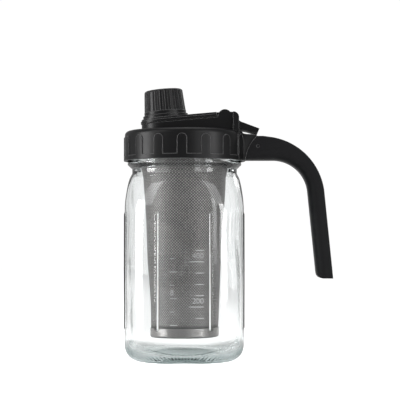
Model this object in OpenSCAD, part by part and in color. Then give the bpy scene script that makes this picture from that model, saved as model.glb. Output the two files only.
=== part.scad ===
// Glass jar jug with a screw lid, a flip-over capped spout, a side handle and a lift-out steel filter.
// The origin is the middle of the jar's base. +Z is up and +X points to the handle. Sizes are in mm.

/* [Jar] */
// Height of the jar to the top of its lip
jar_h = 165; // [155:1:175]
// Width of the jar across its flat sides
jar_w = 88; // [86:0.5:92]
// Radius of the upright corners between the flat sides
jar_corner_r = 27; // [24:1:30]
// Thickness of the side walls
glass_t = 3.2; // [2.6:0.1:3.8]
// Thickness of the glass in the base
base_t = 8; // [6:0.5:10]
// Rounding where the flat sides meet the base
base_edge_r = 13; // [10:0.5:14]
// Width of the ring that the jar stands on, where it is narrowest
foot_w = 4; // [2:0.5:9]
// Depth of the hollow pressed into the underside
punt_h = 2.4; // [1.5:0.1:3.5]
// Height of the shoulder curve above the flat sides
shoulder_h = 27; // [24:1:30]
// Height of the shoulder curve above the upright corners
corner_shoulder_h = 35; // [33:1:40]
// Depth of the neck groove, from the threaded glass inwards
neck_groove = 2.1; // [1.7:0.1:2.5]
// Height of the neck groove
neck_h = 4.5; // [3.5:0.5:6]
// Thickness of the glass that carries the thread
finish_wall = 4.9; // [4.5:0.1:5.3]
// Room for the thread between the glass and the collar
thread_room = 2.1; // [1.9:0.1:2.3]
// Height of the threaded glass above the neck
finish_h = 21.5; // [20:0.5:23]
// How far the carrying bead stands out from the threaded glass
bead_proud = 1.3; // [0.8:0.1:1.5]
// Half the distance between the two raised ribs that frame a flat side
panel_half = 19.7; // [17:0.1:22]
// Radius of a raised rib
panel_rib_r = 1.8; // [1.4:0.1:2.4]
// How far a rib stands out of the flat side
panel_rib_proud = 0.6; // [0.3:0.1:0.9]
// Height of the lower end of the ribs
panel_z = 19; // [15:1:25]
// Length of the ribs without their tips
panel_h = 90; // [70:1:92]

/* [Filter] */
// Gap between the mouth and the steel sleeve that hangs in it
sleeve_gap = 1; // [0.7:0.1:1.4]
// Depth of the sleeve below the lip
sleeve_h = 10; // [7:0.5:14]
// How far the flange on the lip ends inside the threaded glass
flange_back = 0.7; // [0.1:0.1:1.8]
// Thickness of the flange
flange_t = 0.7; // [0.5:0.1:1.2]
// Thickness of the sheet and of the mesh
sheet_t = 0.5; // [0.4:0.05:0.7]
// Outside radius of the mesh where the flare meets the long taper
flare_r = 31; // [29:0.5:33]
// Drop from the lip to the foot of the flare
flare_drop = 28.5; // [24:0.5:34]
// Outside radius of the mesh at its foot
filter_foot_r = 25.1; // [22:0.1:27]
// Height of the filter's underside above the table
filter_z = 18; // [15:0.5:22]
// Height of the solid band round the foot
band_h = 7; // [5:0.5:10]

/* [Lid] */
// How far the collar's grip ribs stand out past the jar's flat sides
collar_over = 1.5; // [1:0.1:2.5]
// Height of the collar
collar_h = 22.4; // [21:0.1:24]
// Thickness of the collar with its grip ribs
collar_wall = 2.1; // [1.7:0.1:2.3]
// Thickness of the lid's top
lid_t = 2.4; // [2:0.1:3.2]
// Rounding of the collar's top edge
collar_edge_r = 3.5; // [2.5:0.1:4]
// Number of places for grip ribs round the collar
rib_count = 16; // [12:1:20]
// Width of a grip rib
rib_w = 7; // [5:0.5:8]
// Height of a grip rib above the collar's lower edge
rib_h = 18; // [14:0.5:18.5]
// How far a grip rib stands out
rib_proud = 0.7; // [0.4:0.1:0.8]
// Height of the plain band under the ribs
skirt_band_h = 3.4; // [2:0.2:6]
// Turn of the rib pattern, counted from the handle
rib_turn = -1.8; // [-11:0.1:11]
// Thickness of the rubber ring under the lid's top
gasket_t = 3; // [2.4:0.1:3.4]
// Width of the rubber ring
gasket_w = 5.6; // [4:0.1:6]

/* [Spout and hinge] */
// Forward tilt of the spout and of the arm over it
deck_tilt = 5; // [3:0.5:7]
// Distance from the hinge pin to the spout's axis
spout_reach = 44; // [43:0.1:45]
// Radius of the spout's raised block, and half its width
deck_r = 18.3; // [18.3:0.1:19.5]
// Distance from the collar's outside in to the hinge pin
pin_inset = 15.5; // [14.5:0.5:17.5]
// Height of the hinge pin above the lid
pin_rise = 10; // [9.5:0.5:12]
// Radius of the hinge pin
pin_r = 2; // [1.5:0.1:2.4]
// Inside radius of the spout
spout_bore_r = 9.6; // [8.5:0.1:9.8]
// Outside radius of the spout at its root
spout_root_r = 12.2; // [11.8:0.1:12.4]
// Outside radius of the spout at its lip
spout_lip_r = 10.9; // [10.5:0.1:11]
// Height of the spout above its block
spout_h = 14; // [11:0.5:14]
// Radius of the rounded ears that hold the pin
ear_r = 5.2; // [4.9:0.1:5.6]
// Thickness of an ear
ear_t = 5; // [4:0.5:5.5]
// Height of the hinge housing above the pin
housing_rise = 3.3; // [2.2:0.1:3.4]

/* [Flip arm and cap] */
// Thickness of the arm
arm_t = 3.3; // [2.8:0.1:3.6]
// Height of the raised ring round the cap
arm_ring_h = 2.3; // [1.8:0.1:2.8]
// Gap between the arm and the block below it
arm_gap = 0.5; // [0.3:0.1:0.8]
// Radius of the hinge knuckles
knuckle_r = 4.4; // [3.8:0.1:4.5]
// Radius of the cap's plain band
cap_r = 15.7; // [15.6:0.1:16.6]
// Height of the cap above the ring
cap_h = 18.6; // [17.5:0.1:20]
// Radius of the cap's top
cap_top_r = 14.4; // [13.8:0.1:14.8]
// Number of flutes round the cap
flute_count = 24; // [16:1:28]
// Radius of a flute
flute_r = 1.1; // [0.7:0.1:1.3]
// Travel of the cap when it is unscrewed
cap_rise = 3; // [2:0.5:3]

/* [Thumb lever] */
// Width of the thumb pad
pad_w = 18; // [16:1:19]
// Distance from the pin to the pad's end
pad_reach = 25.9; // [24:0.1:26.5]
// Drop of the pad's top from the pin to its end
pad_drop = 9.8; // [9.4:0.1:10]
// Thickness of the pad at its end
pad_t = 3.7; // [3:0.1:3.8]
// Width of the lever where it runs through the housing
lever_w = 12; // [10:0.5:12]
// Wire thickness of the return spring
wire_d = 0.7; // [0.5:0.1:0.8]
// Turns of the return spring
spring_turns = 3; // [2:1:3]

/* [Handle] */
// Thickness of the plate that stands behind the hinge
plate_t = 4.4; // [4.4:0.1:5]
// Width of that plate
plate_w = 43; // [40:0.5:44]
// Width of the handle
handle_w = 22; // [18:0.5:24]
// Radius of the round front end of the handle, where it meets the bracket
socket_r = 29.2; // [26:0.2:31]
// Height of the middle of that round end above the collar's lower edge
socket_z = -2.5; // [-4:0.5:-1]
// Radius of the hollow flare between the handle and the plate
flare_side_r = 10.2; // [9.5:0.1:12]
// Distance from the jar's axis to the grip's outer face, at its end
grip_reach = 110.4; // [106:0.2:116]
// Drop from the lid's top to the grip's end
grip_drop = 110; // [100:1:120]
// Thickness of the grip from its inner to its outer face
grip_depth = 11.6; // [10.6:0.2:14]
// Lean of the grip, away from the jar as it goes down
grip_lean = 5.7; // [3:0.1:8]
// Slope of the handle's top edge
root_slope = 8; // [6:0.1:11]
// Radius of the outer bend
outer_bend_r = 46.5; // [42:0.5:50]
// Radius of the inner bend
inner_bend_r = 26; // [20:0.5:30]
// Rounding of the grip's inner edges
grip_round_r = 7; // [5:0.5:8]
// Rounding of the grip's end on its inner side
grip_end_r = 5; // [3:0.5:6]
// Thickness of the strip let into the handle's back
strip_t = 2.2; // [1.6:0.1:3]
// Width of that strip
strip_w = 17; // [14:0.5:18]
// Radius of the cross pin that locks the handle to its bracket
lock_pin_r = 1.2; // [0.8:0.1:1.6]

/* [Hidden] */
$fn = 64;
// Gap between flat faces that rest on each other but come apart
seat_gap = 0.1;
// Gap round pieces that turn or slide past each other
side_gap = 0.3;
// Radial play of the hinge pin in its bores
pin_play = 0.04;
// Depth of plastic left at the closed end of the pin's bore
pin_wall = 1.5;
// How far the pin's head lies inside the housing's side
pin_sink = 0.2;
// Extra length that lets a cutting tool pass a face
over = 1;
// How far a round bend stands past its straight edges, so that it crosses them at a clear angle
bend_proud = 0.03;
// How far round the bend's cut runs on into the straight cut, in degrees
bend_lap = 1;

// Radii from the jar's width inwards: the collar, the threaded glass, the neck and the mouth
collar_r = jar_w / 2 + collar_over;
collar_bore_r = collar_r - collar_wall;
finish_r = collar_bore_r - thread_room;
neck_r = finish_r - neck_groove;
mouth_r = finish_r - finish_wall;
sleeve_r = mouth_r - sleeve_gap;
flange_r = finish_r - flange_back;
punt_r = jar_w / 2 - base_edge_r - foot_w;
pin_x = collar_r - pin_inset;

// Jar levels, from the lip down
finish_z = jar_h - finish_h;
neck_z = finish_z - neck_h;
lip_edge_r = 1.2;
bead_round_r = 1.8;
bead_z = finish_z + 3.4;
corner_foot_extra = 3;
shoulder_step = 1;
rib_tip_h = 5;
rib_tip_r = 0.4;

// Levels of what rests on the lip, from the lip up
flange_z = jar_h + seat_gap;
gasket_z = flange_z + flange_t + seat_gap;
lid_under_z = gasket_z + gasket_t + seat_gap;
lid_z = lid_under_z + lid_t;
collar_z = lid_z - collar_h;
gasket_r = collar_bore_r - 0.8;
rib_free_turn = 3;
mesh_r = sleeve_r - sheet_t;
mesh_lap = 4;
mesh_foot_lift = 2;
filter_edge_r = 1.4;

// Hinge and spout
pin_z = lid_z + pin_rise;
housing_z = pin_z + housing_rise;
ear_in = deck_r - ear_t;
housing_floor = 0.8;
cavity_front = knuckle_r + 0.6;
spout_x = pin_x - spout_reach * cos(deck_tilt);
spigot_r = spout_root_r - 0.9;
spigot_h = 4;
spout_lip_round = 0.8;
plate_x = pin_x + 6;
plate_back = plate_x + plate_t;
plate_flat = 0.2;

// Top and lower side of the handle's root
neck_top_z = lid_z - 4;
root_z = collar_z + 0.6;

// Flip arm, in the tilted frame whose origin is the pin
arm_nose = 0.6;
arm_end = ear_r + 0.8;
arm_step = 0.8;
arm_step_h = 1.9;
ring_z = arm_gap + arm_t;
ring_top = ring_z + arm_ring_h;
cap_band_h = 2.4;
cap_z = ring_top + side_gap;
cap_top = cap_z + cap_h;
cap_band_top = cap_z + cap_band_h;
cap_edge_r = 2;
cap_roof_t = 2.4;
cap_bore_r = 13;
cap_neck_r = cap_bore_r + 1.3;
cap_lip_t = 0.9;
cap_lip_z = arm_gap + 0.4;
cap_lip_r = cap_neck_r + 1.1;
ring_bore_r = cap_neck_r + side_gap;
ring_well_r = cap_lip_r + side_gap;
ring_well_top = cap_lip_z + cap_lip_t + cap_rise + 0.1;
ring_r = cap_r + 1.1;
rib_zone_r = cap_r - 0.2;
flute_out = flute_r * 0.4;
flute_draft = atan((rib_zone_r - cap_top_r) / (cap_top - cap_band_top));

// Seal in the cap
seal_r = cap_bore_r - 0.4;
seal_z = spout_h + side_gap;
seal_t = 2.3;
plug_r = spout_bore_r - 1.4;
plug_h = 3;
plug_edge = 1;
seal_stem_r = 10.4;
seal_stem_t = 1.8;

// Thumb lever
pad_root = plate_back - pin_x + 0.8;
pad_root_top = 2.8;
pad_root_t = 5.8;
pad_slant = 1.2;
pad_hollow_r = 60;
pad_hollow = 0.8;
lever_half = lever_w / 2;
lever_foot_turn = 30;
spring_y = lever_half + side_gap;
spring_pitch = wire_d + 0.1;
spring_wound = spring_turns + 0.75;
spring_room = spring_wound * spring_pitch + wire_d + 0.2;
spring_coil_r = pin_r + 0.4 + wire_d / 2;
spring_sides = 6;
spring_steps = 20;
spring_foot = pin_rise - housing_floor - 0.8;
spring_arm = 4.2;
slot_side_gap = 0.4;
slot_bottom = -pad_root_top - pad_root_t - 1;
slot_top = 1.6;
trough_half = pad_w / 2 + 0.6;
trough_z = neck_top_z - 1.2;
trough_end = pin_x + pad_reach + 1.3;

// Handle outline, as two straight edges on each side with a round bend between them
handle_half = handle_w / 2;
grip_end_z = lid_z - grip_drop;
grip_normal = [cos(grip_lean), sin(grip_lean)];
top_normal = [sin(root_slope), cos(root_slope)];
grip_out = grip_reach * grip_normal[0] + grip_end_z * grip_normal[1];
grip_in = grip_out - grip_depth;
handle_top_x = collar_r + 13.2;
top_out = handle_top_x * top_normal[0] + neck_top_z * top_normal[1];
outer_bend = meet(grip_normal, grip_out - outer_bend_r, top_normal, top_out - outer_bend_r);
inner_bend = meet(grip_normal, grip_in - inner_bend_r, [0, 1], root_z - inner_bend_r);
socket_x = collar_r - 0.3 + socket_r;
socket_mid_z = collar_z + socket_z;
lock_pin_x = collar_r + 9.2;
lock_pin_z = collar_z + 10.8;
lock_pin_sink = 0.4;
tongue_half = 5;
tongue_end = collar_r + 17;
strip_start = tongue_end + 2;
strip_foot = 6;
tongue_half_h = 4.6;

// Point where two lines meet, each given as a normal and its distance from the origin
function meet(n1, c1, n2, c2) =
  let (det = n1[0] * n2[1] - n1[1] * n2[0])
  [(c1 * n2[1] - c2 * n1[1]) / det, (n1[0] * c2 - n2[0] * c1) / det];

// Radius of an arc that leaves an upright wall at its foot and comes in by dx over a height dz
function shoulder_arc(dx, dz) = (dx * dx + dz * dz) / (2 * dx);

// An outline in X and Z, made solid from y0 to y1
module along_y(y0, y1) {
  translate([0, y1, 0]) rotate([90, 0, 0]) linear_extrude(y1 - y0) children();
}

// The same on both sides of the part's mid-plane
module on_both_sides() {
  children();
  mirror([0, 1, 0]) children();
}

// A ring-shaped solid about the line through x and z that runs along Y
module round_y(x, z) {
  translate([x, 0, z]) rotate([90, 0, 0]) children();
}

// The tilted frame of the arm, with its origin on the hinge pin
module on_deck() {
  translate([pin_x, 0, pin_z]) rotate([0, -deck_tilt, 0]) children();
}

// The same frame moved to the spout's axis
module on_spout() {
  on_deck() translate([-spout_reach, 0, 0]) children();
}

// Half of an upright jar outline: a rounded foot, a straight wall and a shoulder arc
module jar_half(half, throat, z0, edge, rise) {
  arc = shoulder_arc(half - throat, rise);
  wall_top = neck_z - rise;
  translate([0, z0 + edge]) square([half, wall_top - z0 - edge]);
  translate([0, z0]) square([half - edge, edge]);
  intersection() {
    translate([half - edge, z0 + edge]) circle(r = edge);
    translate([half - edge, z0]) square([edge, edge]);
  }
  intersection() {
    translate([half - arc, wall_top]) circle(r = arc);
    translate([0, wall_top]) square([half, rise]);
  }
}

// The jar's body below the neck: a square with round corners, narrowed to a round throat
module jar_form(half, corner, throat, z0, edge) {
  reach = (half - corner) * sqrt(2) + corner + over;
  intersection() {
    linear_extrude(neck_z) rounded_square(half, corner);
    rotate_extrude() jar_half(reach, throat, z0, edge + corner_foot_extra, corner_shoulder_h);
    along_y(-half - over, half + over) jar_outline(half, throat, z0, edge);
    rotate([0, 0, 90]) along_y(-half - over, half + over) jar_outline(half, throat, z0, edge);
  }
}

module jar_outline(half, throat, z0, edge) {
  jar_half(half, throat + shoulder_step, z0, edge, shoulder_h);
  mirror([1, 0]) jar_half(half, throat + shoulder_step, z0, edge, shoulder_h);
}

module rounded_square(half, corner) {
  square([2 * half, 2 * (half - corner)], center = true);
  square([2 * (half - corner), 2 * half], center = true);
  for (x = [-1, 1], y = [-1, 1]) {
    translate([x * (half - corner), y * (half - corner)]) circle(r = corner);
  }
}

// Neck groove, carrying bead and the glass for the thread
module jar_finish() {
  rotate_extrude() {
    translate([0, neck_z]) square([neck_r, neck_h + over]);
    translate([0, finish_z]) square([finish_r, finish_h - lip_edge_r]);
    translate([0, finish_z]) square([finish_r - lip_edge_r, finish_h]);
    translate([finish_r - lip_edge_r, jar_h - lip_edge_r]) circle(r = lip_edge_r);
    translate([finish_r + bead_proud - bead_round_r, bead_z]) circle(r = bead_round_r);
  }
}

// The two raised ribs that frame the flat panel of one side
module panel_ribs() {
  for (y = [-panel_half, panel_half]) {
    translate([jar_w / 2 + panel_rib_proud - panel_rib_r, y, panel_z]) {
      cylinder(r = panel_rib_r, h = panel_h);
      sphere(r = panel_rib_r);
      translate([0, 0, panel_h]) cylinder(r1 = panel_rib_r, r2 = rib_tip_r, h = rib_tip_h);
    }
  }
}

module glass_jar() {
  color([0.85, 0.93, 0.92, 0.35]) difference() {
    union() {
      jar_form(jar_w / 2, jar_corner_r, neck_r, 0, base_edge_r);
      jar_finish();
      for (turn = [0 : 90 : 270]) rotate([0, 0, turn]) panel_ribs();
    }
    jar_form(jar_w / 2 - glass_t, jar_corner_r - glass_t, mouth_r, base_t, base_edge_r - glass_t);
    translate([0, 0, neck_z - over]) cylinder(r = mouth_r, h = jar_h - neck_z + 2 * over);
    translate([0, 0, -over]) cylinder(r1 = punt_r + over, r2 = punt_r - punt_h, h = punt_h + over);
  }
}

// Pressed steel flange that rests on the lip, with the sleeve that the mesh is welded into
module filter_rim() {
  color("silver") rotate_extrude() polygon([
    [mesh_r, jar_h - sleeve_h],
    [sleeve_r, jar_h - sleeve_h],
    [sleeve_r, flange_z],
    [flange_r, flange_z],
    [flange_r, flange_z + flange_t],
    [mesh_r, flange_z + flange_t]
  ]);
}

// Woven steel basket, as a thin wall: a short lap in the sleeve, the flare, the long taper and the foot
module filter_mesh() {
  foot_z = filter_z + mesh_foot_lift;
  taper_z = filter_z + band_h;
  lap_z = jar_h - sleeve_h;
  flare_z = jar_h - flare_drop;
  color("gray") rotate_extrude() polygon([
    [filter_foot_r - sheet_t, foot_z],
    [filter_foot_r, foot_z],
    [filter_foot_r, taper_z],
    [flare_r, flare_z],
    [mesh_r, lap_z],
    [mesh_r, lap_z + mesh_lap],
    [mesh_r - sheet_t, lap_z + mesh_lap],
    [mesh_r - sheet_t, lap_z],
    [flare_r - sheet_t, flare_z],
    [filter_foot_r - sheet_t, taper_z]
  ]);
}

// Solid steel cup that closes the foot of the basket
module filter_base() {
  outer = filter_foot_r + sheet_t;
  edge = filter_edge_r;
  color("silver") rotate_extrude() difference() {
    union() {
      translate([0, filter_z + edge]) square([outer, band_h - edge]);
      translate([0, filter_z]) square([outer - edge, edge]);
      intersection() {
        translate([outer - edge, filter_z + edge]) circle(r = edge);
        translate([outer - edge, filter_z]) square([edge, edge]);
      }
    }
    translate([0, filter_z + 2 * sheet_t]) square([filter_foot_r, band_h]);
  }
}

// Rubber ring between the filter's flange and the lid
module lid_gasket() {
  color("white") translate([0, 0, gasket_z]) difference() {
    cylinder(r = gasket_r, h = gasket_t);
    translate([0, 0, -over]) cylinder(r = gasket_r - gasket_w, h = gasket_t + 2 * over);
  }
}

// One grip rib seen from outside: straight sides and a round top
module grip_rib_outline() {
  translate([-rib_w / 2, 0]) square([rib_w, rib_h - rib_w / 2]);
  translate([0, rib_h - rib_w / 2]) circle(r = rib_w / 2);
}

// Where the grip ribs go: all the way round, apart from the seat of the handle's plate
module grip_rib_blocks() {
  step = 360 / rib_count;
  free_angle = asin(plate_w / 2 / collar_r) + rib_free_turn;
  for (i = [0 : rib_count - 1]) {
    angle = i * step + rib_turn;
    from_handle = abs(angle > 180 ? angle - 360 : angle);
    if (from_handle > free_angle) {
      rotate([0, 0, angle]) translate([collar_bore_r, 0, 0]) rotate([90, 0, 90])
        linear_extrude(collar_r) grip_rib_outline();
    }
  }
}

// Screw collar with its top: ribbed outside, open below
module lid_collar() {
  core_r = collar_r - rib_proud;
  color([0.07, 0.07, 0.07]) difference() {
    translate([0, 0, collar_z]) {
      rotate_extrude() difference() {
        union() {
          square([core_r, collar_h - collar_edge_r]);
          square([core_r - collar_edge_r, collar_h]);
          translate([core_r - collar_edge_r, collar_h - collar_edge_r]) circle(r = collar_edge_r);
          square([collar_r, skirt_band_h]);
        }
        translate([0, -over]) square([collar_bore_r, collar_h - lid_t + over]);
      }
      intersection() {
        difference() {
          cylinder(r = collar_r, h = collar_h - collar_edge_r);
          translate([0, 0, -over]) cylinder(r = core_r - rib_proud, h = collar_h);
        }
        union() {
          grip_rib_blocks();
          translate([0, -plate_w / 2, 0]) cube([2 * collar_r, plate_w, collar_h]);
        }
      }
    }
    on_spout() translate([0, 0, -2 * pin_rise]) cylinder(r = spout_bore_r, h = 2 * pin_rise);
  }
}

// Outline of the raised block from above: round at the spout, straight back to the plate
module deck_outline() {
  translate([spout_x, 0]) circle(r = deck_r);
  translate([spout_x, -deck_r]) square([plate_x - spout_x, 2 * deck_r]);
}

// One ear of the hinge housing, seen from the side
module ear_outline() {
  translate([pin_x, pin_z]) circle(r = ear_r);
  translate([pin_x - ear_r, lid_z]) square([plate_x - pin_x + ear_r, pin_rise]);
  translate([pin_x, lid_z]) square([plate_x - pin_x, housing_z - lid_z]);
}

// Raised block that carries the spout in front and the hinge housing behind
module spout_deck() {
  color([0.07, 0.07, 0.07]) difference() {
    union() {
      intersection() {
        translate([0, 0, lid_z]) linear_extrude(2 * pin_rise) deck_outline();
        on_deck() translate([-4 * deck_r, -2 * deck_r, -2 * pin_rise])
          cube([8 * deck_r, 4 * deck_r, 2 * pin_rise]);
      }
      on_both_sides() along_y(ear_in, deck_r) ear_outline();
    }
    translate([pin_x - cavity_front, -ear_in, lid_z + housing_floor])
      cube([cavity_front + plate_x - pin_x + over, 2 * ear_in, 2 * pin_rise]);
    on_spout() translate([0, 0, -spigot_h]) cylinder(r = spigot_r, h = spigot_h + over);
    on_spout() translate([0, 0, -2 * pin_rise]) cylinder(r = spout_bore_r, h = 2 * pin_rise);
    round_y(pin_x, pin_z) translate([0, 0, -deck_r - over])
      cylinder(r = pin_r + pin_play, h = 2 * deck_r + over - pin_wall);
  }
}

// Tapered pouring spout, let into the block
module pour_spout() {
  color([0.07, 0.07, 0.07]) on_spout() rotate_extrude() {
    polygon([
      [spout_bore_r, -spigot_h],
      [spigot_r, -spigot_h],
      [spigot_r, 0],
      [spout_root_r, 0],
      [spout_lip_r, spout_h - spout_lip_round],
      [spout_lip_r - spout_lip_round / 2, spout_h],
      [spout_bore_r, spout_h]
    ]);
  }
}

// Upright plate behind the hinge, with its rounded top edge
module plate_outline() {
  edge = plate_t - plate_flat;
  translate([plate_x, collar_z]) square([plate_t, housing_z - collar_z - edge]);
  translate([plate_x, collar_z]) square([plate_t - edge, housing_z - collar_z]);
  intersection() {
    translate([plate_back - edge, housing_z - edge]) circle(r = edge);
    translate([plate_x, housing_z - edge]) square([plate_t, edge]);
  }
}

// Section of the bracket's neck, from the round end of the handle out to the plate
module neck_section() {
  far = socket_r + 2 * flare_side_r;
  difference() {
    translate([socket_r, -plate_w / 2]) square([far - socket_r, plate_w]);
    for (side = [-1, 1]) {
      translate([socket_r, side * (handle_half + flare_side_r)]) circle(r = flare_side_r);
    }
  }
}

// Side view of the neck: level below, and falling from the lid's edge to the handle above
module neck_side_outline() {
  polygon([
    [plate_x + over, root_z],
    [plate_x + over, lid_z + over],
    [plate_back, lid_z + over],
    [lock_pin_x, neck_top_z],
    [socket_x, neck_top_z],
    [socket_x, root_z]
  ]);
}

// The collar's own shape, which the bracket fits round: straight below, round at the top edge
module collar_seat() {
  core_r = collar_r - rib_proud;
  wall_h = collar_h - collar_edge_r;
  translate([0, 0, collar_z]) rotate_extrude() {
    square([core_r - collar_edge_r, collar_h]);
    translate([core_r - collar_edge_r, wall_h]) circle(r = collar_edge_r);
    translate([0, -over]) square([collar_r, wall_h + over]);
  }
}

// Plate, flared neck and the tongue that reaches into the handle
module handle_bracket() {
  color([0.08, 0.08, 0.08]) difference() {
    union() {
      along_y(-plate_w / 2, plate_w / 2) plate_outline();
      intersection() {
        round_y(socket_x, socket_mid_z) rotate_extrude() neck_section();
        along_y(-plate_w / 2, plate_w / 2) neck_side_outline();
      }
      translate([collar_r - over, -tongue_half, lock_pin_z - tongue_half_h])
        cube([tongue_end - collar_r + over, 2 * tongue_half, 2 * tongue_half_h]);
    }
    collar_seat();
    translate([plate_x - over, -lever_half - slot_side_gap, pin_z + slot_bottom])
      cube([plate_t + 2 * over, lever_w + 2 * slot_side_gap, slot_top - slot_bottom]);
    pad_trough();
    lock_pin_bore();
  }
}

// Room under the thumb pad for its press
module pad_trough() {
  translate([plate_back, -trough_half, trough_z])
    cube([trough_end - plate_back, 2 * trough_half, 2 * pin_rise]);
}

module lock_pin_bore() {
  round_y(lock_pin_x, lock_pin_z) translate([0, 0, -handle_w])
    cylinder(r = lock_pin_r, h = 2 * handle_w);
}

// What a round bend takes off a sharp corner: mid is its centre, n1 and n2 point at its ends
module bend_cut(mid, r, n1, n2) {
  difference() {
    polygon([mid, mid + 2 * r * n1, mid + 2 * r * (n1 + n2), mid + 2 * r * n2]);
    translate(mid) circle(r = r + bend_proud);
  }
}

// All that lies inside the handle's outer edge, when that edge is moved in by inset
module handle_outer(inset) {
  left = collar_r - over;
  low = grip_end_z - over;
  difference() {
    polygon([
      [left, low],
      [left, (top_out - inset - left * top_normal[0]) / top_normal[1]],
      meet(grip_normal, grip_out - inset, top_normal, top_out - inset),
      [(grip_out - inset - low * grip_normal[1]) / grip_normal[0], low]
    ]);
    bend_cut(outer_bend, outer_bend_r - inset, grip_normal, top_normal);
  }
}

// The open space between the handle and the jar
module handle_inner() {
  left = collar_r - 2 * over;
  low = grip_end_z - 2 * over;
  difference() {
    polygon([
      [left, low],
      [left, root_z],
      meet(grip_normal, grip_in, [0, 1], root_z),
      [(grip_in - low * grip_normal[1]) / grip_normal[0], low]
    ]);
    bend_cut(inner_bend, inner_bend_r, grip_normal, [0, 1]);
  }
}

// What rounds the inner corner of the grip's end
module grip_end_cut() {
  end_z = grip_end_z + grip_end_r;
  mid = [(grip_in + grip_end_r - end_z * grip_normal[1]) / grip_normal[0], end_z];
  corner = [(grip_in - grip_end_z * grip_normal[1]) / grip_normal[0], grip_end_z];
  difference() {
    polygon([
      corner - [over, over],
      [mid[0], grip_end_z - over],
      mid,
      mid - grip_end_r * grip_normal - [over, 0]
    ]);
    translate(mid) circle(r = grip_end_r);
  }
}

module handle_outline() {
  difference() {
    intersection() {
      handle_outer(0);
      translate([collar_r + seat_gap, grip_end_z])
        square([2 * grip_reach, neck_top_z - grip_end_z]);
      union() {
        translate([socket_x, socket_mid_z]) circle(r = socket_r);
        translate([socket_x, grip_end_z - over]) square([2 * grip_reach, 2 * grip_drop]);
      }
    }
    handle_inner();
    grip_end_cut();
  }
}

// The strip let into the handle's back, as a band inside the outer edge
module strip_outline(gap) {
  difference() {
    handle_outer(0);
    handle_outer(strip_t + gap);
    square([strip_start - gap, 2 * jar_h]);
    square([2 * grip_reach, grip_end_z + strip_foot - gap]);
  }
}

// Section of what is cut away along an inner edge of the handle, from the face inwards
module edge_round() {
  for (side = [0, 1]) mirror([0, side]) difference() {
    translate([-over, handle_half - grip_round_r])
      square([grip_round_r + over, grip_round_r + over]);
    translate([grip_round_r - bend_proud, handle_half - grip_round_r + bend_proud])
      circle(r = grip_round_r);
  }
}

// The rounding of the root's lower edges
module root_edge_cut() {
  translate([inner_bend[0] + over, 0, root_z]) rotate([0, -90, 0])
    linear_extrude(2 * inner_bend_r) edge_round();
}

// The rounding of the inner edges round the bend and down the grip
module grip_edge_cut() {
  length = 2 * grip_drop;
  round_y(inner_bend[0], inner_bend[1]) rotate([0, 0, grip_lean])
    rotate_extrude(angle = 90 + bend_lap - grip_lean) translate([inner_bend_r, 0]) edge_round();
  translate([inner_bend[0], 0, inner_bend[1]]) rotate([0, -grip_lean, 0])
    translate([inner_bend_r, 0, -length]) linear_extrude(length) edge_round();
}

// The part of the handle between x0 and x1, with flat sides
module handle_span(x0, x1) {
  along_y(-handle_half, handle_half) intersection() {
    handle_outline();
    translate([x0, 0]) square([x1 - x0, 2 * jar_h]);
  }
}

module handle_grip() {
  color([0.09, 0.09, 0.09]) difference() {
    union() {
      difference() {
        handle_span(0, inner_bend[0]);
        root_edge_cut();
      }
      difference() {
        handle_span(inner_bend[0], 2 * grip_reach);
        grip_edge_cut();
      }
    }
    along_y(-strip_w / 2, strip_w / 2) strip_outline(0);
    translate([collar_r - over, -tongue_half, lock_pin_z - tongue_half_h])
      cube([tongue_end - collar_r + over, 2 * tongue_half, 2 * tongue_half_h]);
    pad_trough();
    lock_pin_bore();
  }
}

module handle_back_strip() {
  color([0.1, 0.1, 0.1]) along_y(-strip_w / 2 + seat_gap, strip_w / 2 - seat_gap)
    strip_outline(-seat_gap);
}

module handle_lock_pin() {
  color("dimgray") round_y(lock_pin_x, lock_pin_z)
    translate([0, 0, -handle_half + lock_pin_sink])
      cylinder(r = lock_pin_r, h = handle_w - 2 * lock_pin_sink);
}

module hinge_pin() {
  color("dimgray") round_y(pin_x, pin_z) translate([0, 0, -deck_r + pin_sink])
    cylinder(r = pin_r, h = 2 * (deck_r - pin_sink) - pin_wall - 0.1);
}

// Middle line of the return spring at turn angle a, counted from the side that faces the plate
function spring_mid(a) = [
  pin_x + spring_coil_r * cos(a),
  spring_y + wire_d / 2 + spring_pitch * a / 360,
  pin_z + spring_coil_r * sin(a)
];
function spring_along(a) = [-sin(a), 0, cos(a)];
function spring_ring(mid, a) = [
  for (s = [0 : spring_sides - 1])
    let (b = s * 360 / spring_sides, out = wire_d / 2 * cos(b), side = wire_d / 2 * sin(b))
    mid + [out * cos(a), side, out * sin(a)]
];

// Return spring of the thumb lever: one wire round the hinge pin, with a foot on the floor
module lever_spring() {
  count = spring_wound * spring_steps;
  whole = spring_wound * 360;
  coil = [for (i = [0 : count]) let (a = i * whole / count) spring_ring(spring_mid(a), a)];
  foot = spring_ring(spring_mid(0) - spring_foot * spring_along(0), 0);
  arm = spring_ring(spring_mid(whole) + spring_arm * spring_along(whole), whole);
  rings = concat([foot], coil, [arm]);
  n = spring_sides;
  top = len(rings) - 1;
  points = [for (ring = rings) each ring];
  sides = [
    for (i = [0 : top - 1], s = [0 : n - 1])
      let (a = i * n + s, b = i * n + (s + 1) % n)
      each [[a, b, b + n], [a, b + n, a + n]]
  ];
  ends = [
    for (s = [1 : n - 2])
      each [[0, s + 1, s], [top * n, top * n + s, top * n + s + 1]]
  ];
  color("silver") polyhedron(points = points, faces = concat(sides, ends));
}

// Outline of the arm from above, in its own frame: round at the cap, straight back to the hinge
module arm_outline(r) {
  translate([-spout_reach - arm_nose, 0]) circle(r = r);
  translate([-spout_reach - arm_nose, -r]) square([spout_reach + arm_nose - arm_end, 2 * r]);
}

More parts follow.
